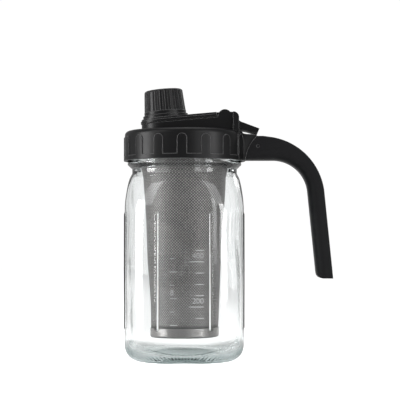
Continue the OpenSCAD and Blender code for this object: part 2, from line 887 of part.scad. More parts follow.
// One hinge knuckle of the arm between y0 and y1, with the web that joins it to the plate
module arm_knuckle(y0, y1) {
  along_y(y0, y1) {
    circle(r = knuckle_r);
    translate([-arm_end - over, arm_gap]) square([arm_end + over, arm_t]);
  }
}

// Flat arm that swings over the spout, with the ring that the cap turns in
module flip_arm() {
  color([0.07, 0.07, 0.07]) on_deck() difference() {
    union() {
      translate([0, 0, arm_gap]) linear_extrude(arm_step_h) arm_outline(deck_r);
      translate([0, 0, arm_gap]) linear_extrude(arm_t) arm_outline(deck_r - arm_step);
      translate([-spout_reach, 0, arm_gap]) cylinder(r = ring_r, h = ring_top - arm_gap);
      arm_knuckle(-ear_in + side_gap, -lever_half - side_gap);
      arm_knuckle(spring_y + spring_room, ear_in - side_gap);
    }
    translate([-spout_reach, 0, -over]) {
      cylinder(r = ring_well_r, h = ring_well_top + over);
      cylinder(r = ring_bore_r, h = ring_top + 2 * over);
    }
    round_y(0, 0) translate([0, 0, -deck_r]) cylinder(r = pin_r + pin_play, h = 2 * deck_r);
  }
}

// Silicone plug and disc that close the spout from inside the cap
module cap_seal() {
  stem_top = cap_top - cap_roof_t - side_gap;
  color("white") on_spout() rotate_extrude() polygon([
    [0, seal_z - plug_h],
    [plug_r - plug_edge, seal_z - plug_h],
    [plug_r, seal_z - plug_h + plug_edge],
    [plug_r, seal_z],
    [seal_r, seal_z],
    [seal_r, seal_z + seal_t],
    [seal_stem_r, seal_z + seal_t],
    [seal_stem_r, stem_top],
    [seal_stem_r - seal_stem_t, stem_top],
    [seal_stem_r - seal_stem_t, seal_z + seal_t],
    [0, seal_z + seal_t]
  ]);
}

// Round body of the cap without its flutes, and the neck and lip that keep it in the arm's ring
module cap_body() {
  rotate_extrude() {
    polygon([
      [cap_bore_r, cap_lip_z],
      [cap_lip_r, cap_lip_z],
      [cap_lip_r, cap_lip_z + cap_lip_t],
      [cap_neck_r, cap_lip_z + cap_lip_t],
      [cap_neck_r, cap_z],
      [cap_r, cap_z],
      [cap_r, cap_band_top],
      [rib_zone_r, cap_band_top],
      [cap_top_r, cap_top - cap_edge_r],
      [cap_top_r - cap_edge_r, cap_top],
      [0, cap_top],
      [0, cap_top - cap_roof_t],
      [cap_bore_r, cap_top - cap_roof_t]
    ]);
    intersection() {
      translate([cap_top_r - cap_edge_r, cap_top - cap_edge_r]) circle(r = cap_edge_r);
      translate([cap_top_r - cap_edge_r, cap_top - cap_edge_r]) square(cap_edge_r);
    }
  }
}

// Fluted cap that turns in the arm's ring
module spout_cap() {
  color([0.07, 0.07, 0.07]) on_spout() difference() {
    cap_body();
    for (i = [0 : flute_count - 1]) {
      rotate([0, 0, i * 360 / flute_count]) translate([rib_zone_r + flute_out, 0, cap_band_top])
        rotate([0, -flute_draft, 0]) cylinder(r = flute_r, h = cap_h);
    }
  }
}

// Side view of the lever, from the hub on the pin through the plate to the end of the pad
module lever_neck_outline() {
  circle(r = knuckle_r);
  polygon([
    [0, knuckle_r],
    [pad_root + over, -pad_root_top],
    [pad_root + over, -pad_root_top - pad_root_t],
    knuckle_r * [-sin(lever_foot_turn), -cos(lever_foot_turn)]
  ]);
}

module lever_pad_outline() {
  end_top = -pad_drop;
  end_low = -pad_drop - pad_t;
  low_mid = [(pad_root + pad_reach) / 2, (end_low - pad_root_top - pad_root_t) / 2];
  difference() {
    polygon([
      [pad_root, -pad_root_top],
      [pad_reach, end_top],
      [pad_reach - pad_slant, end_low],
      [pad_root, -pad_root_top - pad_root_t]
    ]);
    translate(low_mid + [0, pad_hollow - pad_hollow_r]) circle(r = pad_hollow_r);
  }
}

// Thumb lever on the hinge pin: a narrow neck through the plate and a wide pad behind it
module thumb_lever() {
  color([0.08, 0.08, 0.08]) translate([pin_x, 0, pin_z]) difference() {
    union() {
      along_y(-lever_half, lever_half) lever_neck_outline();
      along_y(-pad_w / 2, pad_w / 2) lever_pad_outline();
    }
    round_y(0, 0) translate([0, 0, -deck_r]) cylinder(r = pin_r + pin_play, h = 2 * deck_r);
  }
}

glass_jar();
filter_rim();
filter_mesh();
filter_base();
lid_gasket();
lid_collar();
spout_deck();
pour_spout();
handle_bracket();
handle_grip();
handle_back_strip();
handle_lock_pin();
hinge_pin();
lever_spring();
flip_arm();
cap_seal();
spout_cap();
thumb_lever();
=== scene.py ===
# %% [markdown]
# # A glass jar jug with a steel filter
# The jug is a wide-mouth glass jar with a black screw lid. The lid carries a spout under a cap that
# flips away, a thumb lever and a hanging handle, and a long steel basket hangs inside the glass.
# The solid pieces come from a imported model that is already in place, so this lesson dresses them:
# it gives each piece its finish, remakes the few that the solids only show roughly, such as the
# blown glass, and adds what is too fine for solids, such as the threads.

import math

import bpy
import numpy as np
from mathutils import Matrix, Vector


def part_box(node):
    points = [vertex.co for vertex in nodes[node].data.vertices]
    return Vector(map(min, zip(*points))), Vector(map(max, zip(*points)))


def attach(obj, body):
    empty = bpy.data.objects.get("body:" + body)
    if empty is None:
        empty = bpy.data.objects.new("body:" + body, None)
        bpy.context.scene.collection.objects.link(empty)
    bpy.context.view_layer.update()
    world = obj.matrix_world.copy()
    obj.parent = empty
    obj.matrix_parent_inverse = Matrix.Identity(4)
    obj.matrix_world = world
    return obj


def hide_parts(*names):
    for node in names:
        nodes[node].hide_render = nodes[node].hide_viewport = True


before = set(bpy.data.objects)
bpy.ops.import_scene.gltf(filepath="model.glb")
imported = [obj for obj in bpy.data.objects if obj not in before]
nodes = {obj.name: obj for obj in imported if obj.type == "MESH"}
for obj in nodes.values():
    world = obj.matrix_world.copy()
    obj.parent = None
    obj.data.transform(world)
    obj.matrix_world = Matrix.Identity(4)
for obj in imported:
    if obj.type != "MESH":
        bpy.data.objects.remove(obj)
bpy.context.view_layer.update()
MM = 0.001

# %% [markdown]
# ## Camera
# The photograph was taken from the side, almost level with the middle of the jar and from about a
# metre away. A long lens keeps the jar's sides upright, so the camera stands back and only tips up
# by the small angle that puts the middle of the picture a little above the middle of the jar.

# %% Place the camera
CAMERA_DISTANCE = 1.05
CAMERA_HEIGHT = 0.09
PICTURE_MIDDLE = Vector((0.0116, 0.0, 0.12))
PICTURE_WIDTH = 0.3
SENSOR_WIDTH = 36.0

camera_data = bpy.data.cameras.new("photo_camera")
camera = bpy.data.objects.new("photo_camera", camera_data)
bpy.context.scene.collection.objects.link(camera)
camera.location = (PICTURE_MIDDLE.x, -CAMERA_DISTANCE, CAMERA_HEIGHT)
looking = PICTURE_MIDDLE - camera.location
camera.rotation_euler = looking.to_track_quat("-Z", "Y").to_euler()
camera_data.sensor_width = SENSOR_WIDTH
camera_data.lens = SENSOR_WIDTH * looking.length / PICTURE_WIDTH
bpy.context.scene.camera = camera
print("lens in mm:", round(camera_data.lens, 1))

# %% [markdown]
# ## Small helpers for materials
# Every finish starts from a Principled shader. These helpers keep the later cells short: they place
# and wire nodes, do sums between sockets, split a place into its parts and make a material.


# %% Helpers for node trees
def add_node(tree, kind, **settings):
    """Places a node in a tree and types in its settings."""
    node = tree.nodes.new(kind)
    for name, value in settings.items():
        setattr(node, name, value)
    return node


def connect(tree, source, target):
    """Wires an output to an input."""
    tree.links.new(source, target)


def sum_of(tree, operation, first, second=None):
    """A Math node; numbers are typed into it and sockets are wired to it."""
    node = add_node(tree, "ShaderNodeMath", operation=operation)
    for socket, value in zip(node.inputs, (first, second)):
        if value is None:
            continue
        if isinstance(value, (int, float)):
            socket.default_value = value
        else:
            connect(tree, value, socket)
    return node.outputs[0]


def start_material(name, colour, roughness, **sockets):
    """A material with its tree and shader; the shader's sockets are named with _ for spaces."""
    material = bpy.data.materials.new(name)
    material.use_nodes = True
    shader = material.node_tree.nodes["Principled BSDF"]
    shader.inputs["Base Color"].default_value = (*colour, 1.0)
    shader.inputs["Roughness"].default_value = roughness
    for socket, value in sockets.items():
        shader.inputs[socket.replace("_", " ")].default_value = value
    return material, material.node_tree, shader


def object_place(tree):
    """Coordinates that stay with the piece when it moves, in metres."""
    return add_node(tree, "ShaderNodeTexCoord").outputs["Object"]


def split(tree, place):
    """The outputs X, Y and Z of a place."""
    parts = add_node(tree, "ShaderNodeSeparateXYZ")
    connect(tree, place, parts.inputs["Vector"])
    return parts.outputs


def change_over(tree, value, edges, levels=(0.0, 1.0), way="LINEAR"):
    """Goes from one level to the other while value goes from one edge to the other."""
    change = add_node(tree, "ShaderNodeMapRange", interpolation_type=way)
    connect(tree, value, change.inputs["Value"])
    for socket, number in zip(("From Min", "From Max", "To Min", "To Max"), (*edges, *levels)):
        change.inputs[socket].default_value = number
    return change.outputs["Result"]


print("helpers ready")

# %% [markdown]
# ## Fine grain
# Moulded plastic is never a mirror: the mould was blasted, so the skin has a grain of about a
# third of a millimetre, and handling leaves slightly glossier patches. One node group makes both
# from noise, and each plastic places it with its own scale and depth. The edges of a moulding are
# never sharp either: a Bevel node rounds the shading there, so that each edge draws a thin line of
# light, and the angle between the rounded and the plain normal gives a mask of the edges, along
# which the colour is painted paler as a painted highlight.


# %% Build the grain group
EDGE_ROUND = 0.0006
EDGE_SAMPLES = 6
EDGE_GAIN = 3.4
GRAIN_STRENGTH = 0.35
PATCH_SCALE = 45.0


def build_grain_group():
    """Roughness, normal and edge mask of a moulded skin."""
    group = bpy.data.node_groups.new("moulded_grain", "ShaderNodeTree")
    for name, side, kind in (
        ("Place", "INPUT", "NodeSocketVector"),
        ("Edge Normal", "INPUT", "NodeSocketVector"),
        ("Grain Size", "INPUT", "NodeSocketFloat"),
        ("Depth", "INPUT", "NodeSocketFloat"),
        ("Roughness", "INPUT", "NodeSocketFloat"),
        ("Roughness Change", "INPUT", "NodeSocketFloat"),
        ("Roughness", "OUTPUT", "NodeSocketFloat"),
        ("Normal", "OUTPUT", "NodeSocketVector"),
        ("Edge", "OUTPUT", "NodeSocketFloat"),
    ):
        group.interface.new_socket(name=name, in_out=side, socket_type=kind)
    inside = add_node(group, "NodeGroupInput")
    outside = add_node(group, "NodeGroupOutput")
    surface = add_node(group, "ShaderNodeNewGeometry")
    turned = add_node(group, "ShaderNodeVectorMath", operation="DOT_PRODUCT")
    connect(group, surface.outputs["Normal"], turned.inputs[0])
    connect(group, inside.outputs["Edge Normal"], turned.inputs[1])
    bend = sum_of(group, "MULTIPLY", sum_of(group, "SUBTRACT", 1.0, turned.outputs["Value"]), EDGE_GAIN)
    connect(group, sum_of(group, "MINIMUM", bend, 1.0), outside.inputs["Edge"])
    grain = add_node(group, "ShaderNodeTexNoise")
    grain.inputs["Detail"].default_value = 2.0
    connect(group, inside.outputs["Place"], grain.inputs["Vector"])
    connect(group, sum_of(group, "DIVIDE", 1.0, inside.outputs["Grain Size"]), grain.inputs["Scale"])
    bump = add_node(group, "ShaderNodeBump")
    bump.inputs["Strength"].default_value = GRAIN_STRENGTH
    connect(group, grain.outputs["Fac"], bump.inputs["Height"])
    connect(group, inside.outputs["Depth"], bump.inputs["Distance"])
    connect(group, inside.outputs["Edge Normal"], bump.inputs["Normal"])
    patches = add_node(group, "ShaderNodeTexNoise")
    patches.inputs["Scale"].default_value = PATCH_SCALE
    connect(group, inside.outputs["Place"], patches.inputs["Vector"])
    centred = sum_of(group, "SUBTRACT", patches.outputs["Fac"], 0.5)
    change = sum_of(group, "MULTIPLY", centred, inside.outputs["Roughness Change"])
    connect(group, sum_of(group, "ADD", inside.outputs["Roughness"], change), outside.inputs["Roughness"])
    connect(group, bump.outputs["Normal"], outside.inputs["Normal"])
    return group


grain_group = build_grain_group()


def lay_grain(tree, shader, grain_size, depth, roughness, change):
    """Places the grain group in a material and wires it to the shader."""
    grain = add_node(tree, "ShaderNodeGroup", node_tree=grain_group)
    connect(tree, object_place(tree), grain.inputs["Place"])
    edge = add_node(tree, "ShaderNodeBevel", samples=EDGE_SAMPLES)
    edge.inputs["Radius"].default_value = EDGE_ROUND
    connect(tree, edge.outputs["Normal"], grain.inputs["Edge Normal"])
    grain.inputs["Grain Size"].default_value = grain_size
    grain.inputs["Depth"].default_value = depth
    grain.inputs["Roughness"].default_value = roughness
    grain.inputs["Roughness Change"].default_value = change
    connect(tree, grain.outputs["Roughness"], shader.inputs["Roughness"])
    connect(tree, grain.outputs["Normal"], shader.inputs["Normal"])
    return grain


print("group:", grain_group.name)

# %% [markdown]
# ## The black plastics
# Lid, arm and cap are a satin black polypropylene; the handle is moulded with a deeper grain and
# shines less. Black plastic still reflects a few per cent of the studio, and that sheen is all that
# shows its shape, so the colour is near black and the gloss does the work. Along the edges a paler
# colour is mixed in as a painted highlight.

# %% Make the black plastics
# Colour of the painted highlight along the plastics' edges.
EDGE_HIGHLIGHT_COLOUR = (0.24, 0.24, 0.243)
PLASTIC_SHINE = 0.21
PLASTIC_PATCHES = 0.1


def make_plastic(name, colour, roughness, grain_size, depth):
    """A black plastic with a moulded grain and a painted highlight along its edges."""
    material, tree, shader = start_material(name, colour, roughness)
    shader.inputs["Specular IOR Level"].default_value = PLASTIC_SHINE
    grain = lay_grain(tree, shader, grain_size, depth, roughness, PLASTIC_PATCHES)
    # Along the edges the colour is painted paler: a painted highlight.
    painted_edge_highlight = add_node(tree, "ShaderNodeMix", data_type="RGBA")
    painted_edge_highlight.inputs["A"].default_value = (*colour, 1.0)
    painted_edge_highlight.inputs["B"].default_value = (*EDGE_HIGHLIGHT_COLOUR, 1.0)
    connect(tree, grain.outputs["Edge"], painted_edge_highlight.inputs["Factor"])
    connect(tree, painted_edge_highlight.outputs["Result"], shader.inputs["Base Color"])
    return material


satin_black = make_plastic(
    "satin_black_plastic", colour=(0.005, 0.005, 0.0055), roughness=0.33, grain_size=0.00035, depth=0.00001
)
grained_black = make_plastic(
    "grained_black_plastic", colour=(0.006, 0.006, 0.007), roughness=0.42, grain_size=0.0003, depth=0.00002
)
pin_black = make_plastic(
    "black_locking_pin", colour=(0.02, 0.02, 0.022), roughness=0.3, grain_size=0.0004, depth=0.00001
)
print("plastics:", satin_black.name, grained_black.name, pin_black.name)

# %% [markdown]
# ## Silicone
# The ring under the lid and the plug in the cap are milky silicone rubber. Light enters it a little,
# which a small subsurface amount imitates, and its moulded skin is dull.

# %% Make the silicone
SILICONE_ROUGHNESS = 0.5
LIGHT_SINKS_IN = 0.002
silicone, silicone_tree, silicone_shader = start_material(
    "milky_silicone", (0.78, 0.79, 0.78), SILICONE_ROUGHNESS, Subsurface_Weight=0.3
)
silicone_shader.inputs["Subsurface Radius"].default_value = (LIGHT_SINKS_IN,) * 3
lay_grain(silicone_tree, silicone_shader, 0.0004, depth=0.00001, roughness=SILICONE_ROUGHNESS, change=0.1)
print("rubber:", silicone.name)

# %% [markdown]
# ## Stainless steel
# The rim, the cup at the foot and the small hinge parts are plain stainless sheet and wire. Rolling
# and polishing leave fine scratches round the piece, so the noise is squeezed along the height and
# the roughness follows it.

# %% Make the plain steels
SCRATCH_SCALE = 60.0
SCRATCH_UNEVEN = 0.25


def make_steel(name, colour, roughness, streak):
    """Stainless steel with fine scratches; streak squeezes their noise along the height."""
    material, tree, shader = start_material(name, colour, roughness, Metallic=1.0)
    stretch = add_node(tree, "ShaderNodeMapping")
    stretch.inputs["Scale"].default_value = (SCRATCH_SCALE, SCRATCH_SCALE, SCRATCH_SCALE * streak)
    connect(tree, object_place(tree), stretch.inputs["Vector"])
    scratches = add_node(tree, "ShaderNodeTexNoise")
    scratches.inputs["Detail"].default_value = 4.0
    connect(tree, stretch.outputs["Vector"], scratches.inputs["Vector"])
    centred = sum_of(tree, "SUBTRACT", scratches.outputs["Fac"], 0.5)
    uneven = sum_of(tree, "MULTIPLY", centred, SCRATCH_UNEVEN)
    connect(tree, sum_of(tree, "ADD", uneven, roughness), shader.inputs["Roughness"])
    return material


sheet_steel = make_steel("stainless_sheet", colour=(0.27, 0.26, 0.255), roughness=0.34, streak=30.0)
wire_steel = make_steel("stainless_wire", colour=(0.55, 0.55, 0.56), roughness=0.22, streak=1.0)
print("steels:", sheet_steel.name, wire_steel.name)

# %% [markdown]
# ## Woven steel
# The basket is a slanting weave of fine wire. Modelling each wire would take millions of faces, so the
# weave is drawn by sums: the angle round the basket and the height give two counts of wires that
# cross on the slant. Their product is highest where two wires cross, so it serves as the height of the
# weave and each crossing catches the light. The same height also sets the colour: the crossings are
# painted pale as a painted highlight and the wire between them dark as painted shade. Where it falls
# to almost nothing, the sheet is left open. A little noise makes the crossings uneven, and the weave
# ends in a painted shadow line above the cup.

# %% Build the weave group
WIRE_PITCH = 2.1
BASKET_MEAN_RADIUS = 28.0
# Heights over which the painted shadow line above the cup fades out.
WEAVE_FOOT_SHADOW = (25.6 * MM, 27.6 * MM)
HOLE_LEVEL = 0.02
WANDER = 0.5
WANDER_SCALE = 700.0
WEAVE_STRENGTH = 0.6
WEAVE_DEPTH = 0.0002
BETWEEN_WIRES_SHADE = (0.06, (0.03, 0.028, 0.027, 1.0))
CROSSING_HIGHLIGHT = (0.62, (0.38, 0.36, 0.355, 1.0))


def build_weave_group():
    """Colour, openness and normal of the woven wire."""
    group = bpy.data.node_groups.new("twill_weave", "ShaderNodeTree")
    for name, side, kind in (
        ("Place", "INPUT", "NodeSocketVector"),
        ("Pitch", "INPUT", "NodeSocketFloat"),
        ("Hole", "INPUT", "NodeSocketFloat"),
        ("Colour", "OUTPUT", "NodeSocketColor"),
        ("Alpha", "OUTPUT", "NodeSocketFloat"),
        ("Normal", "OUTPUT", "NodeSocketVector"),
    ):
        group.interface.new_socket(name=name, in_out=side, socket_type=kind)
    inside = add_node(group, "NodeGroupInput")
    outside = add_node(group, "NodeGroupOutput")
    parts = split(group, inside.outputs["Place"])
    angle = sum_of(group, "ARCTAN2", parts["Y"], parts["X"])
    round_way = sum_of(group, "MULTIPLY", angle, BASKET_MEAN_RADIUS * MM)
    across = sum_of(group, "DIVIDE", round_way, inside.outputs["Pitch"])
    upward = sum_of(group, "DIVIDE", parts["Z"], inside.outputs["Pitch"])

    def wires(count):
        """Half on the middle line of a wire and 0 halfway between two wires."""
        return sum_of(group, "PINGPONG", count, 0.5)

    one = sum_of(group, "MULTIPLY", wires(sum_of(group, "ADD", across, upward)), 2.0)
    two = sum_of(group, "MULTIPLY", wires(sum_of(group, "SUBTRACT", across, upward)), 2.0)
    height = sum_of(group, "MULTIPLY", one, two)
    uneven = add_node(group, "ShaderNodeTexNoise")
    uneven.inputs["Scale"].default_value = WANDER_SCALE
    uneven.inputs["Detail"].default_value = 1.0
    connect(group, inside.outputs["Place"], uneven.inputs["Vector"])
    centred = sum_of(group, "SUBTRACT", uneven.outputs["Fac"], 0.5)
    wander = sum_of(group, "MULTIPLY", centred, WANDER)
    bump = add_node(group, "ShaderNodeBump")
    bump.inputs["Strength"].default_value = WEAVE_STRENGTH
    bump.inputs["Distance"].default_value = WEAVE_DEPTH
    connect(group, height, bump.inputs["Height"])
    # The ramp paints light and shade from the weave's height: painted shade between the wires, a painted
    # highlight on the crossings.
    ramp = add_node(group, "ShaderNodeValToRGB")
    for element, (position, colour) in zip(ramp.color_ramp.elements, (BETWEEN_WIRES_SHADE, CROSSING_HIGHLIGHT)):
        element.position = position
        element.color = colour
    # A painted shadow line darkens the weave just above the cup.
    foot = change_over(group, parts["Z"], WEAVE_FOOT_SHADOW)
    lit = sum_of(group, "MULTIPLY", sum_of(group, "ADD", height, wander), foot)
    connect(group, lit, ramp.inputs["Fac"])
    connect(group, ramp.outputs["Color"], outside.inputs["Colour"])
    connect(group, sum_of(group, "GREATER_THAN", height, inside.outputs["Hole"]), outside.inputs["Alpha"])
    connect(group, bump.outputs["Normal"], outside.inputs["Normal"])
    return group


weave_group = build_weave_group()
woven_steel, woven_tree, woven_shader = start_material("woven_steel", (0.3, 0.3, 0.3), 0.45, Metallic=0.3)
weave = add_node(woven_tree, "ShaderNodeGroup", node_tree=weave_group)
connect(woven_tree, object_place(woven_tree), weave.inputs["Place"])
weave.inputs["Pitch"].default_value = WIRE_PITCH * MM
weave.inputs["Hole"].default_value = HOLE_LEVEL
connect(woven_tree, weave.outputs["Colour"], woven_shader.inputs["Base Color"])
connect(woven_tree, weave.outputs["Alpha"], woven_shader.inputs["Alpha"])
connect(woven_tree, weave.outputs["Normal"], woven_shader.inputs["Normal"])
print("weave pitch in mm:", WIRE_PITCH)

# %% [markdown]
# ## Clear glass
# Jar glass is almost colourless, but iron in the sand tints it green where light runs a long way
# through it, as in the thick base. Volume absorption does just that: thin walls stay clear and the
# corners of the base turn a cool grey green. Lamps can't shine through a refracting surface well, so
# the glass lets shadow rays pass, and the basket inside is lit as it is in a real studio. A ray that
# is caught in the glass and bounces on and on would end as a black speck, so after a few bounces it
# goes straight on. In the thick base it does so early, which keeps the base pale; in the walls it does
# so late, which leaves them their thin dark outlines.

# %% Make the glass
GLASS_INDEX = 1.5
GLASS_TINT = (0.42, 0.56, 0.555, 1.0)
TINT_DENSITY = 25.0
SHADOW_TINT = (0.93, 0.95, 0.95, 1.0)
BASE_ZONE = (14.0 * MM, 24.0 * MM)
BOUNCES_IN_BASE = {"Transmission Depth": 5.5, "Glossy Depth": 2.5}
MORE_IN_WALL = {"Transmission Depth": 2.0, "Glossy Depth": 4.0}

glass, glass_tree, glass_shader = start_material(
    "clear_glass", (1.0, 1.0, 1.0), 0.0, Transmission_Weight=1.0, IOR=GLASS_INDEX
)
tint = add_node(glass_tree, "ShaderNodeVolumeAbsorption")
tint.inputs["Color"].default_value = GLASS_TINT
tint.inputs["Density"].default_value = TINT_DENSITY
glass_output = glass_tree.nodes["Material Output"]
connect(glass_tree, tint.outputs["Volume"], glass_output.inputs["Volume"])
ray_kind = add_node(glass_tree, "ShaderNodeLightPath")
let_through = add_node(glass_tree, "ShaderNodeBsdfTransparent")
let_through.inputs["Color"].default_value = SHADOW_TINT
by_ray = add_node(glass_tree, "ShaderNodeMixShader")
in_wall = change_over(glass_tree, split(glass_tree, object_place(glass_tree))["Z"], BASE_ZONE)


def lasted(kind):
    """1 when a ray has bounced more often than its place in the glass allows."""
    allowed = sum_of(glass_tree, "MULTIPLY_ADD", in_wall, MORE_IN_WALL[kind])
    allowed.node.inputs[2].default_value = BOUNCES_IN_BASE[kind]
    return sum_of(glass_tree, "GREATER_THAN", ray_kind.outputs[kind], allowed)


caught = sum_of(glass_tree, "MAXIMUM", lasted("Transmission Depth"), lasted("Glossy Depth"))
goes_straight = sum_of(glass_tree, "MAXIMUM", ray_kind.outputs["Is Shadow Ray"], caught)
connect(glass_tree, goes_straight, by_ray.inputs["Fac"])
connect(glass_tree, glass_shader.outputs["BSDF"], by_ray.inputs[1])
connect(glass_tree, let_through.outputs["BSDF"], by_ray.inputs[2])
connect(glass_tree, by_ray.outputs["Shader"], glass_output.inputs["Surface"])
print("glass:", glass.name)

# %% [markdown]
# ## Dress the pieces that keep their shape
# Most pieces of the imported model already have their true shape, so they only get their finish.

# %% Give each piece its finish
moving_pieces = ("flip_arm", "spout_cap", "thumb_lever")
finishes = {
    satin_black: ("lid_collar", "spout_deck", "pour_spout", "handle_bracket", *moving_pieces),
    grained_black: ("handle_grip", "handle_back_strip"),
    pin_black: ("handle_lock_pin",),
    silicone: ("lid_gasket", "cap_seal"),
    sheet_steel: ("filter_rim", "filter_base"),
    wire_steel: ("hinge_pin", "lever_spring"),
    woven_steel: ("filter_mesh",),
    glass: ("glass_jar",),
}
for finish, names in finishes.items():
    for name in names:
        slots = nodes[name].material_slots
        if not slots:
            nodes[name].data.materials.append(finish)
        for slot in slots:
            slot.material = finish
print("dressed:", sum(len(names) for names in finishes.values()))

# %% [markdown]
# ## Thumb pad and neck
# In the photograph the thumb pad is a thick tongue with a square end, and the neck behind the plate is
# level and lets its side show. The solids have a thinner end and a neck that climbs to the plate, so
# these two are redrawn: each is a copy of the solid's mesh whose lower or upper edge lies elsewhere.

# %% Redraw the thumb pad and the neck
PAD_ROOT_X, PAD_END_X = 41.25, 55.9
PAD_END_TOP, PAD_END_LOW = 173.1, 168.7
PAD_END_SLANT = 1.5
PAD_END_ZONE = 0.1
PAD_SIDE = 8.0
PAD_HOLLOW = 2.0
PAD_ROOT_LOW = 172.3
PAD_FACE_X = 40.9
PAD_FACE_LOW = 173.0
NECK_TOP_AT_PLATE = 168.6
PLATE_BACK = 40.395
LID_ROOM = 172.45
RING_CLEAR = 169.0
RING_ROOM = 43.5


def redrawn_copy(name, node, body, moved):
    """A copy of a solid piece, each point of which is put where moved says, in millimetres."""
    mesh = nodes[node].data.copy()
    for vertex in mesh.vertices:
        vertex.co = Vector(moved(*(value / MM for value in vertex.co))) * MM
    piece = bpy.data.objects.new(name, mesh)
    bpy.context.scene.collection.objects.link(piece)
    piece.matrix_world = nodes[node].matrix_world.copy()
    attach(piece, body)
    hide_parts(node)
    return piece


def pad_point(x, y, z):
    """The pad's upper edge ends higher, and its lower edge runs in a shallow arch to a thick end."""
    if PAD_FACE_X < x <= PAD_ROOT_X and abs(y) > PAD_SIDE and z < PAD_FACE_LOW:
        return x, y, PAD_ROOT_LOW
    if x <= PAD_ROOT_X:
        return x, y, z
    share = (x - PAD_ROOT_X) / (PAD_END_X - PAD_ROOT_X)
    if x > PAD_END_X - PAD_END_ZONE:
        return x, y, PAD_END_TOP
    if abs(y) < PAD_SIDE:
        return x, y, z
    hollow = PAD_HOLLOW * share * (1 - share)
    low = PAD_ROOT_LOW + (PAD_END_LOW - PAD_ROOT_LOW) * share + hollow
    return x - PAD_END_SLANT * share, y, low


def neck_point(x, y, z):
    """The neck's top stays level up to the plate, but inside the collar it keeps off the rubber ring."""
    level = RING_CLEAR if math.hypot(x, y) < RING_ROOM else NECK_TOP_AT_PLATE
    if x > PLATE_BACK and level < z < LID_ROOM:
        return x, y, level
    return x, y, z


pad = redrawn_copy("thumb_pad", "thumb_lever", "lever", pad_point)
neck = redrawn_copy("plate_and_neck", "handle_bracket", "lid", neck_point)
print("redrawn:", pad.name, neck.name)

# %% [markdown]
# ## The blown jar
# The jar's outline is a square with round corners that turns into a circle at the neck. Its surface
# is built as rings of points: at each height, a point's distance from the axis is the least of two
# limits, a square with round corners that narrows with the flat sides, and a turned profile. Where
# they meet, a soft minimum rolls one into the other, as molten glass does in its mould. Rings run from
# the middle of the base, up the outside, over the lip and down the inside, as one closed skin.

# %% Measures of the jar
jar_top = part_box("glass_jar")[1]
JAR_HEIGHT = jar_top.z / MM
SIDE_HALF = 44.0
CORNER_RADIUS = 27.0
WALL = 2.6
BASE = 4.8
SIDE_FOOT = 13.0
NECK_RADIUS = 39.2
MOUTH_RADIUS = 36.4
FINISH_RADIUS = 41.3
NECK_BOTTOM = 139.0
NECK_TOP = 143.5
SIDE_SHOULDER = 27.0
CORNER_SHOULDER = 35.0
RIB_PLACE = 19.7
RIB_RADIUS = 1.8
RIB_PROUD = 0.6
RIB_LOW = 26.0
RIB_HIGH = 109.0
RIB_TIP = 5.0
ROUND_REACH = 0.3
THROAT_ROOM = 1.0
TURNED_FOOT_MORE = 3.0
NECK_FADE = 14.0
FOOT_FADE = 10.0
CREASE_LEAST = 0.05
CREASE_MORE = 1.3
print("jar height in mm:", round(JAR_HEIGHT, 1))


# %% Profiles that limit the jar's outline
def upright_limit(height, half, foot, floor, rise, throat):
    """Distance of a profile from the axis: a round foot, a straight wall and an arc to the throat."""
    shoulder = NECK_BOTTOM - rise
    if height < floor + foot:
        drop = floor + foot - height
        return half - foot + math.sqrt(max(foot * foot - drop * drop, 0.0))
    if height <= shoulder:
        return half
    arc = ((half - throat) ** 2 + rise**2) / (2 * (half - throat))
    up = height - shoulder
    return half - arc + math.sqrt(max(arc * arc - up * up, 0.0))


def rounded_square(angle, half, corner):
    """Distance from the axis to a square with round corners, in the direction of angle."""
    folded = abs((angle + math.pi / 4) % (math.pi / 2) - math.pi / 4)
    flat = half / math.cos(folded)
    middle = half - corner
    if flat * math.sin(folded) <= middle:
        return flat
    toward = middle * (math.cos(folded) + math.sin(folded))
    return toward + math.sqrt(corner * corner - 2 * middle * middle + toward * toward)


def soft_least(values, softness):
    """A minimum that rounds the crease between its values."""
    least = min(values)
    total = sum(math.exp((least - value) / softness) for value in values)
    return least - softness * math.log(total)


def jar_outline(angle, height, inset, floor):
    """Distance from the axis to the jar's skin, moved in by inset for the inner skin."""
    half = SIDE_HALF - inset
    corner = CORNER_RADIUS - inset
    throat = MOUTH_RADIUS if inset else NECK_RADIUS
    foot = SIDE_FOOT - inset
    reach = (half - corner) * math.sqrt(2) + corner + ROUND_REACH
    side = upright_limit(height, half, foot, floor, SIDE_SHOULDER, throat + THROAT_ROOM)
    turned = upright_limit(height, reach, foot + TURNED_FOOT_MORE, floor, CORNER_SHOULDER, throat)
    near_neck = min(1.0, max(0.0, (NECK_BOTTOM - height) / NECK_FADE))
    near_foot = min(1.0, max(0.0, (height - floor) / FOOT_FADE))
    softness = CREASE_LEAST + CREASE_MORE * near_neck * near_foot
    return soft_least((rounded_square(angle, side, min(corner, side - 1)), turned), softness)


print("widest in mm:", round(jar_outline(math.pi / 4, 60.0, 0.0, 0.0), 2))


# %% Raised ribs of the jar
def rib_height(lateral, height):
    """How far the glass stands out of a flat side at a rib."""
    if height < RIB_LOW:
        below = RIB_LOW - height
        radius = math.sqrt(max(RIB_RADIUS**2 - below * below, 0.0))
    elif height > RIB_HIGH:
        radius = RIB_RADIUS * max(0.0, 1 - (height - RIB_HIGH) / RIB_TIP)
    else:
        radius = RIB_RADIUS
    off = abs(abs(lateral) - RIB_PLACE)
    if off >= radius:
        return 0.0
    return max(0.0, math.sqrt(radius * radius - off * off) - (RIB_RADIUS - RIB_PROUD))


COARSE_END, COARSE_STEP = 17.0, 0.85
FINE_START, FINE_END, FINE_STEP = 17.4, 22.2, 0.2
CORNER_STEPS = 20


